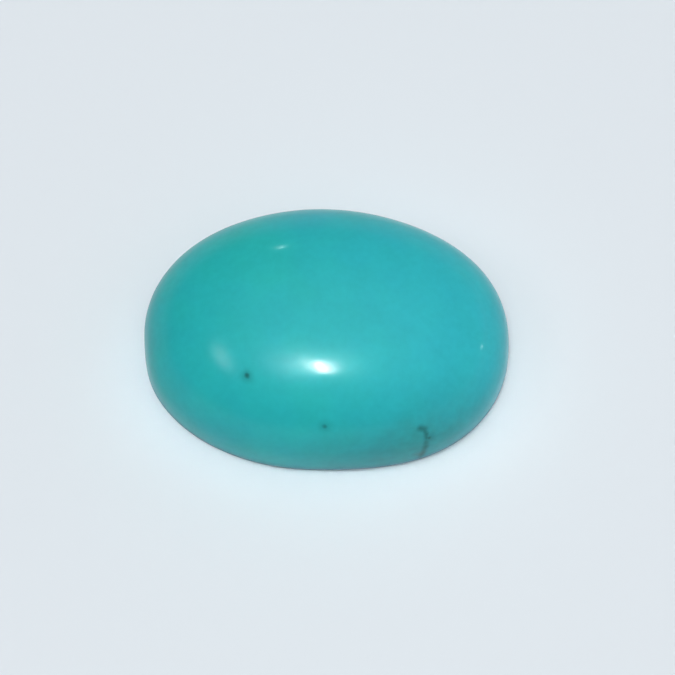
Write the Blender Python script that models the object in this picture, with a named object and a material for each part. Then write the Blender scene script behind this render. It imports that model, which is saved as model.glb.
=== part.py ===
"""A turquoise cut as an oval cabochon: a high dome whose side rounds under to a flat ground back.

The origin is the middle of the back, which lies on the floor at z = 0. +X runs along the oval's long
axis and +Z up through the dome. All sizes are in metres.
"""

from math import asin, atan2, cos, exp, hypot, pi, radians, sin, tan

import bmesh
import bpy

# The stone, to the size of a common oval setting
LENGTH = 0.0180
WIDTH = 0.0132
HEIGHT = 0.00645

# The outline: an oval a little fuller than an ellipse, which would have a fullness of 2
FULLNESS = 2.14
# Hand grinding leaves it slightly out of true: bulges round the oval, their share of its radius and
# the direction of one of their crests in degrees
OUTLINE_WAVES = (
    (3, 0.0064, -28),
    (5, 0.0035, 28),
    (6, 0.0022, 20),
)
# One end is ground a little straighter
END_FLAT_DIRECTION = radians(186)
END_FLAT_DEPTH = 0.00010
END_FLAT_SPREAD = radians(8)

# The girdle is the stone's widest line. Below it the side rounds under in an arc, and meets the back
# at an angle.
GIRDLE_HEIGHT = 0.0011
UNDERCUT_RADIUS = 0.0016
UNDERCUT_ARC = asin(GIRDLE_HEIGHT / UNDERCUT_RADIUS)

# The profile from the girdle to the crown: a larger wall power keeps the side upright for longer, and
# a larger crown power makes the top flatter. Both are 2 in an ellipse.
WALL_POWER = 2.6
CROWN_POWER = 2.1

# The stone is shaped from a cube cut into square cells. Their number along an edge is even, so that a
# row of points lies on the girdle.
CELLS = 30
CELL = 2 / CELLS
UNDERCUT_CELLS = 6
GIRDLE_POINTS = 4 * CELLS

TURQUOISE = (0.025, 0.445, 0.445, 1.0)
POLISH_ROUGHNESS = 0.12
SMOOTH_UNDER = radians(30)


def clear_scene():
    for thing in list(bpy.data.objects):
        bpy.data.objects.remove(thing, do_unlink=True)


def rough_outline(azimuth):
    """The girdle's point in this direction, before the outline is brought to size."""
    along = abs(cos(azimuth)) / (LENGTH / 2)
    across = abs(sin(azimuth)) / (WIDTH / 2)
    reach = (along**FULLNESS + across**FULLNESS) ** (-1 / FULLNESS)
    for lobes, share, crest in OUTLINE_WAVES:
        reach *= 1 + share * cos(lobes * (azimuth - radians(crest)))
    from_flat = (azimuth - END_FLAT_DIRECTION + pi) % (2 * pi) - pi
    reach -= END_FLAT_DEPTH * exp(-((from_flat / END_FLAT_SPREAD) ** 2))
    return reach * cos(azimuth), reach * sin(azimuth)


def middle_and_stretch(values, size):
    """What centres the values on zero and makes them span the size."""
    low, high = min(values), max(values)
    return (low + high) / 2, size / (high - low)


def girdle_outline():
    """A function that gives the girdle's point in any direction, with the outline brought to size."""
    turns = [2 * pi * index / GIRDLE_POINTS for index in range(GIRDLE_POINTS)]
    points = [rough_outline(turn) for turn in turns]
    middle_x, stretch_x = middle_and_stretch([x for x, _ in points], LENGTH)
    middle_y, stretch_y = middle_and_stretch([y for _, y in points], WIDTH)

    def girdle(azimuth):
        x, y = rough_outline(azimuth)
        return (x - middle_x) * stretch_x, (y - middle_y) * stretch_y

    return girdle


def on_the_dome(girdle, azimuth, elevation):
    """A point above the girdle: elevation runs from 0 at the girdle to a right angle at the crown."""
    x, y = girdle(azimuth)
    share = max(cos(elevation), 0) ** (2 / CROWN_POWER)
    rise = sin(elevation) ** (2 / WALL_POWER)
    return x * share, y * share, GIRDLE_HEIGHT + (HEIGHT - GIRDLE_HEIGHT) * rise


def on_the_undercut(girdle, azimuth, turn):
    """A point below the girdle: turn runs from 0 at the girdle to the whole arc at the back."""
    x, y = girdle(azimuth)
    share = 1 - UNDERCUT_RADIUS * (1 - cos(turn)) / hypot(x, y)
    return x * share, y * share, GIRDLE_HEIGHT - UNDERCUT_RADIUS * sin(turn)


def on_the_stone(girdle, place):
    """Where a point of the cube, whose faces lie at -1 and 1, goes on the stone."""
    x, y, z = (tan(value * pi / 4) for value in place)
    azimuth = atan2(y, x)
    if z < 0:
        return on_the_undercut(girdle, azimuth, -place.z / (UNDERCUT_CELLS * CELL) * UNDERCUT_ARC)
    return on_the_dome(girdle, azimuth, atan2(z, hypot(x, y)))


def make_stone():
    shape = bmesh.new()
    bmesh.ops.create_cube(shape, size=2)
    bmesh.ops.subdivide_edges(shape, edges=shape.edges, cuts=CELLS - 1, use_grid_fill=True)
    lowest = -(UNDERCUT_CELLS + 0.5) * CELL
    below_the_back = [vertex for vertex in shape.verts if vertex.co.z < lowest]
    bmesh.ops.delete(shape, geom=below_the_back, context="VERTS")

    girdle = girdle_outline()
    for vertex in shape.verts:
        vertex.co = on_the_stone(girdle, vertex.co)

    rim = [edge for edge in shape.edges if edge.is_boundary]
    bmesh.ops.edgeloop_fill(shape, edges=rim)
    bmesh.ops.recalc_face_normals(shape, faces=shape.faces)

    mesh = bpy.data.meshes.new("turquoise_cabochon")
    shape.to_mesh(mesh)
    shape.free()
    mesh.shade_smooth()
    mesh.set_sharp_from_angle(angle=SMOOTH_UNDER)
    return mesh


def turquoise():
    material = bpy.data.materials.new("turquoise")
    material.use_nodes = True
    finish = material.node_tree.nodes["Principled BSDF"]
    finish.inputs["Base Color"].default_value = TURQUOISE
    finish.inputs["Roughness"].default_value = POLISH_ROUGHNESS
    finish.inputs["Metallic"].default_value = 0.0
    return material


clear_scene()
stone = bpy.data.objects.new("turquoise_cabochon", make_stone())
stone.data.materials.append(turquoise())
bpy.context.scene.collection.objects.link(stone)
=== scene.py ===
"""An oval turquoise cabochon, lying on a pale table in soft studio light.

The stone's shape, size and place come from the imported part. All sizes here are in metres.
"""

from math import cos, pi, radians, sin

import bpy
from mathutils import Matrix, Vector


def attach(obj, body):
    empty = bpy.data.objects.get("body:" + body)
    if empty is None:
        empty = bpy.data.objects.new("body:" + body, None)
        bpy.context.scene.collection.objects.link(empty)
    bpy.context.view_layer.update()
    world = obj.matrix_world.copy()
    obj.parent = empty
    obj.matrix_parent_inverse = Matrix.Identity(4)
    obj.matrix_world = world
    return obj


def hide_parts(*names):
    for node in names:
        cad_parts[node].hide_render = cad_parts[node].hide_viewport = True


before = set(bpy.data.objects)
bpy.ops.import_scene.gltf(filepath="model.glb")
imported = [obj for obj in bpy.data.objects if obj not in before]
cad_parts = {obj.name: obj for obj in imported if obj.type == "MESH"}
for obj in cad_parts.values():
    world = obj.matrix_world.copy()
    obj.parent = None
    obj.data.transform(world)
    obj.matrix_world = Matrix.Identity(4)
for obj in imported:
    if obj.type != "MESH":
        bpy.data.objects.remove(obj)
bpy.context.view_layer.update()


# ---- The polished stone ----
# One turquoise, ground on wheels to an oval with a high dome whose side rounds under to the back, then
# polished to a soft waxy shine. The back is only ground flat, and the arris round it is rubbed off. It
# is fixed to nothing: it lies on the table on its back.

STONE = "turquoise_cabochon"
ON_THE_BACK = 1e-6
SAME_CORNER = 1e-6
ARRIS = 0.00006
BACK_RINGS = (0.0003, 0.0010, 0.0020)
POLISHED_ABOVE = 0.0010
WAVE, WAVE_HEIGHT = 0.0030, 0.000016


def pick(piece):
    """Makes this piece the only one selected, and the one that operators act on."""
    bpy.ops.object.select_all(action="DESELECT")
    bpy.context.view_layer.objects.active = piece
    piece.select_set(True)


def copy_of_node(name, node):
    """A new piece with this CAD node's shape, its loose triangles merged at their corners."""
    piece = bpy.data.objects.new(name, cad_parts[node].data.copy())
    bpy.context.scene.collection.objects.link(piece)
    piece.data.materials.clear()
    pick(piece)
    bpy.ops.mesh.customdata_custom_splitnormals_clear()
    bpy.ops.object.mode_set(mode="EDIT")
    bpy.ops.mesh.select_all(action="SELECT")
    bpy.ops.mesh.remove_doubles(threshold=SAME_CORNER)
    bpy.ops.object.mode_set(mode="OBJECT")
    return piece


def select_back(piece):
    """Goes into edit mode with only the faces of the flat back selected."""
    pick(piece)
    bpy.ops.object.mode_set(mode="EDIT")
    bpy.ops.mesh.select_mode(type="FACE")
    bpy.ops.mesh.select_all(action="DESELECT")
    bpy.ops.object.mode_set(mode="OBJECT")
    corners = piece.data.vertices
    for face in piece.data.polygons:
        face.select = all(corners[corner].co.z < ON_THE_BACK for corner in face.vertices)
    bpy.ops.object.mode_set(mode="EDIT")


def finish_with(piece, kind, **settings):
    """Adds a modifier with these settings and applies it."""
    modifier = piece.modifiers.new(kind.title(), kind)
    for name, value in settings.items():
        setattr(modifier, name, value)
    pick(piece)
    bpy.ops.object.modifier_apply(modifier=modifier.name)


stone = copy_of_node("polished_turquoise", STONE)

# The back becomes one face and the rest a grid of four-sided ones
select_back(stone)
bpy.ops.mesh.dissolve_faces()
bpy.ops.mesh.select_all(action="INVERT")
bpy.ops.mesh.tris_convert_to_quads(face_threshold=pi, shape_threshold=pi, topology_influence=2)
bpy.ops.object.mode_set(mode="OBJECT")

# The arris round the back is rubbed off, and rings inside it keep the back flat when it is smoothed
select_back(stone)
bpy.ops.mesh.region_to_loop()
bpy.ops.mesh.bevel(offset=ARRIS, segments=2, affect="EDGES")
bpy.ops.object.mode_set(mode="OBJECT")
select_back(stone)
for width in BACK_RINGS:
    bpy.ops.mesh.inset(thickness=width)
bpy.ops.object.mode_set(mode="OBJECT")
finish_with(stone, "SUBSURF", levels=2, render_levels=2)

# Polishing by hand leaves the dome very slightly uneven
polished = stone.vertex_groups.new(name="polished")
for corner in stone.data.vertices:
    polished.add([corner.index], min(corner.co.z / POLISHED_ABOVE, 1), "REPLACE")
unevenness = bpy.data.textures.new("unevenness", "CLOUDS")
unevenness.noise_scale = WAVE
finish_with(stone, "DISPLACE", texture=unevenness, vertex_group="polished", strength=WAVE_HEIGHT)
bpy.ops.object.shade_smooth()


class Field:
    """A value over the surface: a socket in a material, on which Python's operators add Math nodes."""

    def __init__(self, output):
        self.output = output

    def node(self, kind, settings, sockets):
        """A new node of this kind in the same material: its settings are made first, then its sockets."""
        made = self.output.id_data.nodes.new(kind)
        for name, value in settings.items():
            setattr(made, name, value)
        for name, value in sockets.items():
            plug(made.inputs[name], value)
        return made

    def math(self, operation, *values):
        sockets = dict(enumerate((self, *values)))
        return Field(self.node("ShaderNodeMath", {"operation": operation}, sockets).outputs[0])

    def __add__(self, other):
        return self.math("ADD", other)

    __radd__ = __add__

    def __mul__(self, other):
        return self.math("MULTIPLY", other)

    __rmul__ = __mul__

    def __sub__(self, other):
        return self.math("SUBTRACT", other)

    def __rsub__(self, other):
        return self * -1 + other

    def vector(self, operation, *values):
        """A vector worked out from this one and the others, or a number where that is the result."""
        sockets = dict(enumerate((self, *values)))
        made = self.node("ShaderNodeVectorMath", {"operation": operation}, sockets)
        return Field(next(output for output in made.outputs if output.enabled))

    def axis(self, name):
        return Field(self.node("ShaderNodeSeparateXYZ", {}, {0: self}).outputs[name])

    def rise(self, start, end):
        """0 up to start, 1 from end on, and a smooth rise between them, or a fall if end comes first."""
        painted_low_shade, high, at_low, at_high = (start, end, 0, 1) if start < end else (end, start, 1, 0)
        sockets = {"Value": self, "From Min": painted_low_shade, "From Max": high, "To Min": at_low, "To Max": at_high}
        made = self.node("ShaderNodeMapRange", {"interpolation_type": "SMOOTHSTEP"}, sockets)
        return Field(made.outputs["Result"])

    def noise(self, size, detail=2, offset=(0, 0, 0)):
        """Clouds of this size over this place, from about -1 to 1. Another offset gives other clouds."""
        sockets = {"Vector": self.vector("ADD", offset), "Scale": 1 / size, "Detail": detail}
        return Field(self.node("ShaderNodeTexNoise", {}, sockets).outputs[0]) * 4 - 2

    def scaled(self, share):
        """This colour or vector, multiplied by the share."""
        made = self.node("ShaderNodeVectorMath", {"operation": "SCALE"}, {0: self, 3: share})
        return Field(made.outputs[0])

    def blend(self, start, end):
        """The start colour where this field is 0, the end colour where it is 1, mixed in between."""
        made = self.node("ShaderNodeMix", {"data_type": "RGBA"}, {0: self, 6: start, 7: end})
        return Field(made.outputs[2])


def plug(socket, value):
    """Links a field to the socket, or sets the socket to a plain value."""
    if isinstance(value, Field):
        socket.id_data.links.new(value.output, socket)
    else:
        socket.default_value = value


def material(name):
    """A new material, its shader, and the place on the surface in the part's own frame."""
    made = bpy.data.materials.new(name)
    made.use_nodes = True
    shader = made.node_tree.nodes["Principled BSDF"]
    place = made.node_tree.nodes.new("ShaderNodeTexCoord").outputs["Object"]
    return made, shader, Field(place)


def distance_to_line(place, start, end):
    """How far each place is from the straight line between two points."""
    along = Vector(end) - Vector(start)
    offset = place.vector("SUBTRACT", start)
    share = offset.vector("DOT_PRODUCT", along) * (1 / along.length_squared)
    share = share.math("MAXIMUM", 0).math("MINIMUM", 1)
    line = place.node("ShaderNodeCombineXYZ", {}, {i: share * along[i] for i in range(3)})
    return offset.vector("SUBTRACT", Field(line.outputs[0])).vector("LENGTH")


turquoise, shader, place = material("turquoise")

# The body's colour is greenest left of the middle and bluest at the right end, with clouds of both
GREEN_TURQUOISE = (0.023, 0.456, 0.420, 1)
BLUE_TURQUOISE = (0.023, 0.414, 0.486, 1)
GREENEST_FROM = -0.0030
MIDDLE_BLUENESS, BLUER_PER_METRE = 0.17, 58
CLOUD, MOTTLE, GRAIN = 0.0070, 0.0016, 0.00035
CLOUD_BLUENESS, MOTTLE_BLUENESS = 0.12, 0.24
MOTTLE_SHADE, GRAIN_SHADE = 0.035, 0.035
# The large clouds: their middle, their reach and how much greener they are, or bluer if less than 0
LARGE_CLOUDS = (
    ((-0.0038, 0.0030, 0.0058), 0.0040, 0.42),
    ((-0.0012, 0.0010, 0.0063), 0.0024, 0.16),
    ((0.0002, -0.0050, 0.0047), 0.0028, 0.34),
    ((-0.0017, 0.0048, 0.0050), 0.0030, -0.42),
)

blueness = MIDDLE_BLUENESS + place.axis("X").math("MAXIMUM", GREENEST_FROM) * BLUER_PER_METRE
blueness = blueness + CLOUD_BLUENESS * place.noise(CLOUD, 1) + MOTTLE_BLUENESS * place.noise(MOTTLE, 4)
for middle, reach, greener in LARGE_CLOUDS:
    blueness = blueness - greener * place.vector("DISTANCE", middle).rise(reach, 0)
shade = 1 + MOTTLE_SHADE * place.noise(MOTTLE, 3, (0.1, 0, 0))
shade = shade + GRAIN_SHADE * place.noise(GRAIN, 2, (0.2, 0, 0))
colour = blueness.rise(-1, 1).blend(GREEN_TURQUOISE, BLUE_TURQUOISE).scaled(shade)

# The colours of the dark matrix, of the dull patches and of the rust at the vein's lower end
MATRIX = (0.010, 0.075, 0.070, 1)
STAIN = (0.030, 0.120, 0.060, 1)
RUST = (0.070, 0.110, 0.075, 1)
# Flecks of matrix: their middle, their reach and how dark they are
FLECKS = (
    ((-0.00367, -0.00368, 0.00541), 0.00031, 0.88),
    ((0.00014, -0.00571, 0.00429), 0.00034, 0.68),
    ((0.00525, -0.00546, 0.00275), 0.00031, 0.70),
    ((-0.00230, 0.00633, 0.00250), 0.00024, 0.75),
    ((0.00120, 0.00240, 0), 0.00035, 0.80),
    ((-0.00410, -0.00130, 0), 0.00026, 0.70),
)
# The vein, from its top over the side to the back: its points, with its half width and how dark it is
# from each of them on
VEIN = (
    ((0.00481, -0.00532, 0.00356), 0.00017, 0.75),
    ((0.00496, -0.00530, 0.00345), 0.00012, 0.70),
    ((0.00507, -0.00541, 0.00312), 0.00013, 0.80),
    ((0.00511, -0.00551, 0.00282), 0.00013, 0.50),
    ((0.00509, -0.00560, 0.00250), 0.00014, 0.60),
    ((0.00506, -0.00567, 0.00215), 0.00016, 0.70),
    ((0.00497, -0.00576, 0.00150), 0.00017, 0.75),
    ((0.00486, -0.00581, 0.00125), 0.00016, 0.60),
    ((0.00472, -0.00571, 0.00045), 0.00014, 0.60),
    ((0.00445, -0.00530, 0), 0.00014, 0.70),
    ((0.00425, -0.00440, 0), 0.00012, 0.60),
    ((0.00365, -0.00350, 0), 0.00010, 0.45),
)
VEIN_END = (0.00325, -0.00250, 0)
# Where the stone is duller and darker over a wide patch: its middle, its reach and how dark it is
STAINS = (
    ((0.00570, -0.00520, 0.00240), 0.0044, 0.27),
    ((0.00420, -0.00575, 0.00270), 0.0027, 0.17),
    ((0.00170, -0.00640, 0.00180), 0.0042, 0.25),
)
STAIN_PATCH, STAIN_PATCHINESS = 0.0008, 0.30
RUST_MIDDLE, RUST_REACH, RUST_DEPTH = (0.00478, -0.00584, 0.00150), 0.00055, 0.35

# Their edges are ragged: each place is moved a little, to and fro, before its distance is measured
RAG, RAG_WIDTH = 0.0005, 0.00022
rag = Field(place.node("ShaderNodeTexNoise", {}, {"Vector": place, "Scale": 1 / RAG}).outputs[1])
ragged = place.vector("ADD", rag.vector("SUBTRACT", (0.5, 0.5, 0.5)).scaled(RAG_WIDTH))

# A fleck has a dark core in a fainter halo, and the vein is drawn line by line. The masks of the dark
# and of the clean places grow from one that is 0 all over.
CORE_WIDTH, HALO_WIDTH, HALO_DEPTH = 0.8, 1.6, 0.4
VEIN_WIDTH, VEIN_DEPTH = 1.9, 0.8
nowhere = place.axis("X") * 0
dark = nowhere
for middle, reach, depth in FLECKS:
    away = ragged.vector("DISTANCE", middle)
    core = away.rise(reach * CORE_WIDTH, 0) * depth
    halo = away.rise(reach * HALO_WIDTH, 0) * (depth * HALO_DEPTH)
    dark = dark.math("MAXIMUM", core.math("MAXIMUM", halo))
ends = [point for point, _, _ in VEIN[1:]] + [VEIN_END]
for (start, half_width, depth), end in zip(VEIN, ends):
    away = distance_to_line(ragged, start, end)
    dark = dark.math("MAXIMUM", away.rise(half_width * VEIN_WIDTH, 0) * (depth * VEIN_DEPTH))

clean = 1 + nowhere
for middle, reach, depth in STAINS:
    clean = clean * (1 - depth * place.vector("DISTANCE", middle).rise(reach, 0))
stain = (1 - clean) * (1 + STAIN_PATCHINESS * place.noise(STAIN_PATCH, 2, (0.5, 0, 0)))
rust = ragged.vector("DISTANCE", RUST_MIDDLE).rise(RUST_REACH, 0) * RUST_DEPTH
colour = stain.blend(colour, STAIN)
colour = dark.blend(colour, MATRIX)
colour = rust.blend(colour, RUST)

# Painted shade: the side is made a little darker lower down, and much darker where it rounds under
# towards the table, where there is also less polish
UNDERSIDE_SHADE = (0.020, 0.088, 0.160, 1)
LOW_FROM, LOW_TO, LOW_DEPTH = 0.00450, 0.00150, 0.07
UNDER_FROM, UNDER_TO, UNDER_DEPTH = 0.00140, 0.00058, 0.72
painted_low_shade = place.axis("Z").rise(LOW_FROM, LOW_TO)
under = place.axis("Z").rise(UNDER_FROM, UNDER_TO)
colour = (LOW_DEPTH * painted_low_shade).blend(colour, UNDERSIDE_SHADE)
colour = (UNDER_DEPTH * under).blend(colour, UNDERSIDE_SHADE)

# The back is ground and not polished: paler, dull, with fine lines from the wheel
PALE_TURQUOISE = (0.200, 0.520, 0.510, 1)
BACK_PALENESS, LINE_PALENESS = 0.30, 0.08
LINE_LENGTH, LINES_TO_A_LENGTH, LINE_TURN = 0.0014, 18, 0.5
back = place.axis("Z").rise(ARRIS * 1.5, ARRIS * 0.3)
stretch = {0: place, "Rotation": (0, 0, LINE_TURN), "Scale": (1, LINES_TO_A_LENGTH, 1)}
lines = Field(place.node("ShaderNodeMapping", {}, stretch).outputs[0]).noise(LINE_LENGTH, 4)
colour = (back * (BACK_PALENESS + LINE_PALENESS * lines)).blend(colour, PALE_TURQUOISE)

# Under the polish the grain is just felt, and on the back the wheel's lines are
PIT, PIT_DEPTH, LINE_DEPTH = 0.00028, 0.10, 1.2
BUMP_HEIGHT = 0.000003
height = PIT_DEPTH * place.noise(PIT, 1, (0.3, 0, 0)) * (1 - back) + LINE_DEPTH * lines * back
bump = place.node("ShaderNodeBump", {}, {"Height": height, "Distance": BUMP_HEIGHT, "Strength": 1})

# The gloss is a thin coat, weaker on the matrix and the underside, and missing on the back
BODY_ROUGHNESS, MOTTLE_ROUGHNESS, BACK_ROUGHNESS = 0.32, 0.03, 0.34
POLISH, LESS_ON_MATRIX, LESS_UNDER = 0.52, 0.6, 0.25
roughness = BODY_ROUGHNESS + MOTTLE_ROUGHNESS * place.noise(MOTTLE, 2, (0.4, 0, 0))
polish = POLISH * (1 - back) * (1 - LESS_ON_MATRIX * dark) * (1 - LESS_UNDER * under)
plug(shader.inputs["Base Color"], colour)
plug(shader.inputs["Roughness"], roughness + BACK_ROUGHNESS * back)
plug(shader.inputs["Coat Weight"], polish)
plug(shader.inputs["Normal"], Field(bump.outputs[0]))
# A little light comes back from just under the polish, in the stone's own colour
shader.inputs["Metallic"].default_value = 0.04
shader.inputs["IOR"].default_value = 1.40
shader.inputs["Specular IOR Level"].default_value = 0.02
shader.inputs["Coat Roughness"].default_value = 0.118
shader.inputs["Coat IOR"].default_value = 1.40

stone.data.materials.append(turquoise)
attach(stone, "root")
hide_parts(STONE)


# ---- The table ----
# A plain white sheet, smooth and only slightly glossy, so large that its edges are out of sight. It
# isn't part of the object.

TABLE_SIZE = 1.6
WHITE = (0.700, 0.751, 0.796, 1)

bpy.ops.object.select_all(action="DESELECT")
bpy.ops.mesh.primitive_plane_add(size=TABLE_SIZE, location=(0, 0, 0))
table = bpy.context.object
table.name = "table"
sheet, shader, _ = material("white_sheet")
shader.inputs["Base Color"].default_value = WHITE
shader.inputs["Roughness"].default_value = 0.5
shader.inputs["Specular IOR Level"].default_value = 0.2
table.data.materials.append(sheet)


# ---- The light ----
# A soft light tent, brightest overhead and to the right. One hard key lamp near the camera stands in a
# wide glow with a tail, a dim window to the left is mirrored in the dome, two far lamps give small
# glints, and a weak fill lamp shines on the sheet alone.

world = bpy.data.worlds.new("soft_room")
bpy.context.scene.world = world
world.use_nodes = True


def direction(azimuth, elevation):
    """The direction at these angles, in degrees: azimuth 0 is straight in front of the stone."""
    azimuth, elevation = radians(azimuth), radians(elevation)
    return Vector((sin(azimuth) * cos(elevation), -cos(azimuth) * cos(elevation), sin(elevation)))


def facing(azimuth, elevation, roll):
    """The turn of something that looks at the stone from this direction, rolled about its view."""
    turn = direction(azimuth, elevation).to_track_quat("Z", "Y").to_matrix()
    return turn @ Matrix.Rotation(radians(roll), 3, "Z")


def window(sky, azimuth, elevation, wide, high, roll, brightness):
    """A soft-edged bright patch of the tent. Wide and high, in degrees, are half its size."""
    across, up, out = facing(azimuth, elevation, roll).transposed()
    sideways = sky.vector("DOT_PRODUCT", across) * (1 / radians(wide))
    upward = sky.vector("DOT_PRODUCT", up) * (1 / radians(high))
    in_front = sky.vector("DOT_PRODUCT", out).math("GREATER_THAN", 0)
    return (-1 * (sideways * sideways + upward * upward)).math("EXPONENT") * in_front * brightness


# The tent's brightness level with the stone, and what it gains half way up, overhead, to the right and
# to the back. The last two gain a little less higher up.
LEVEL, HALF_WAY_UP, OVERHEAD = 0.13, -0.05, 1.13
TO_THE_RIGHT, LESS_RIGHT = 0.48, 0.04
TO_THE_BACK, LESS_BACK = 0.10, 0.01
# The far walls are lit by the sheet, so that no hard horizon is mirrored in the stone
WALLS, WALLS_STEEPNESS = 0.40, 60

sky = Field(world.node_tree.nodes.new("ShaderNodeTexCoord").outputs["Generated"])
x, y, z = sky.axis("X"), sky.axis("Y"), sky.axis("Z")
tent = LEVEL + HALF_WAY_UP * z * z + OVERHEAD * z * z * z * z
tent = tent + x * (TO_THE_RIGHT - LESS_RIGHT * z) + y * (TO_THE_BACK - LESS_BACK * z)
walls = WALLS * (-WALLS_STEEPNESS * z * z).math("EXPONENT")
wide_glow = window(sky, -21.1, 74.6, 9.5, 9.5, 0, 6.5)
tail_of_the_key = window(sky, -11, 74.4, 2.6, 4.1, 45, 28)
dim_window = window(sky, -72.8, 49.8, 9.5, 4.6, -11, 6.2)
brightness = tent.math("MAXIMUM", 0) + walls + wide_glow + tail_of_the_key + dim_window
world.node_tree.nodes["Background"].inputs["Color"].default_value = (1, 1, 1, 1)
plug(world.node_tree.nodes["Background"].inputs["Strength"], brightness)


LAMP_DISTANCE = 0.40
COOL = (0.65, 1, 1)


def lamp(name, shines_at, azimuth, elevation, wide, high, roll, brightness, tint=(1, 1, 1)):
    """A flat oval lamp seen in this direction from a point of the stone. Its size is in degrees."""
    light = bpy.data.lights.new(name, "AREA")
    light.color = tint
    light.shape = "ELLIPSE"
    light.size = LAMP_DISTANCE * radians(wide)
    light.size_y = LAMP_DISTANCE * radians(high)
    # A flat lamp's power is its brightness times pi times its area
    light.energy = brightness * pi * (pi / 4 * light.size * light.size_y)
    hung = bpy.data.objects.new(name, light)
    bpy.context.scene.collection.objects.link(hung)
    hook = Vector(shines_at) + direction(azimuth, elevation) * LAMP_DISTANCE
    hung.matrix_world = Matrix.Translation(hook) @ facing(azimuth, elevation, roll).to_4x4()
    hung.visible_camera = False


lamp("key", (-0.00006, -0.00332, 0.00592), -2.1, 73.2, 1.45, 10.3, 16, 202)
lamp("glint_behind", (-0.00229, 0.00299, 0.00589), -166.25, 27.1, 0.5, 0.5, 0, 430, COOL)
lamp("glint_right", (0.00767, -0.00125, 0.00429), 100.5, 8.7, 2.0, 2.0, 0, 45, COOL)

# The polished side throws light of its own colour on the sheet: a weak lamp that shines on the sheet
# alone stands for it, and lifts the shade close to the stone
FILL_PLACE = (-0.0004, -0.0013, 0.0030)
FILL_LENGTH, FILL_WIDTH = 0.0164, 0.0080
FILL_POWER = 0.00040

bpy.ops.object.light_add(type="AREA", location=FILL_PLACE)
fill = bpy.context.object
fill.name = "fill"
fill.data.shape = "ELLIPSE"
fill.data.size = FILL_LENGTH
fill.data.size_y = FILL_WIDTH
fill.data.energy = FILL_POWER
fill.data.color = COOL
# The stone round the lamp would otherwise hold back the part of its light that falls close by
fill.data.cycles.use_multiple_importance_sampling = False
fill.visible_camera = False
only_the_sheet = bpy.data.collections.new("only_the_sheet")
only_the_sheet.objects.link(table)
fill.light_linking.receiver_collection = only_the_sheet
fill.light_linking.blocker_collection = only_the_sheet


# ---- The camera ----
# A long lens that looks down at the stone from the front, aimed a little above and to the right of its
# middle. The frame's width is measured where the stone lies.

ELEVATION, AZIMUTH, DISTANCE = 67, 2.3, 0.250
PICTURE_WIDTH, PIXELS_TO_A_METRE = 675, 20190
FRAME_WIDTH = PICTURE_WIDTH / PIXELS_TO_A_METRE
AIM_RIGHT, AIM_UP = 0.000545, 0.000734
SENSOR = 36
NEAREST, FARTHEST = 0.01, 10

lens = bpy.data.cameras.new("camera")
lens.sensor_width = SENSOR
lens.lens = SENSOR * DISTANCE / FRAME_WIDTH
lens.clip_start = NEAREST
lens.clip_end = FARTHEST
camera = bpy.data.objects.new("camera", lens)
bpy.context.scene.collection.objects.link(camera)
view = facing(AZIMUTH, ELEVATION, 0)
right, up, out = view.transposed()
stand = out * DISTANCE + right * AIM_RIGHT + up * AIM_UP
camera.matrix_world = Matrix.Translation(stand) @ view.to_4x4()
bpy.context.scene.camera = camera
bpy.context.scene.view_settings.view_transform = "Standard"
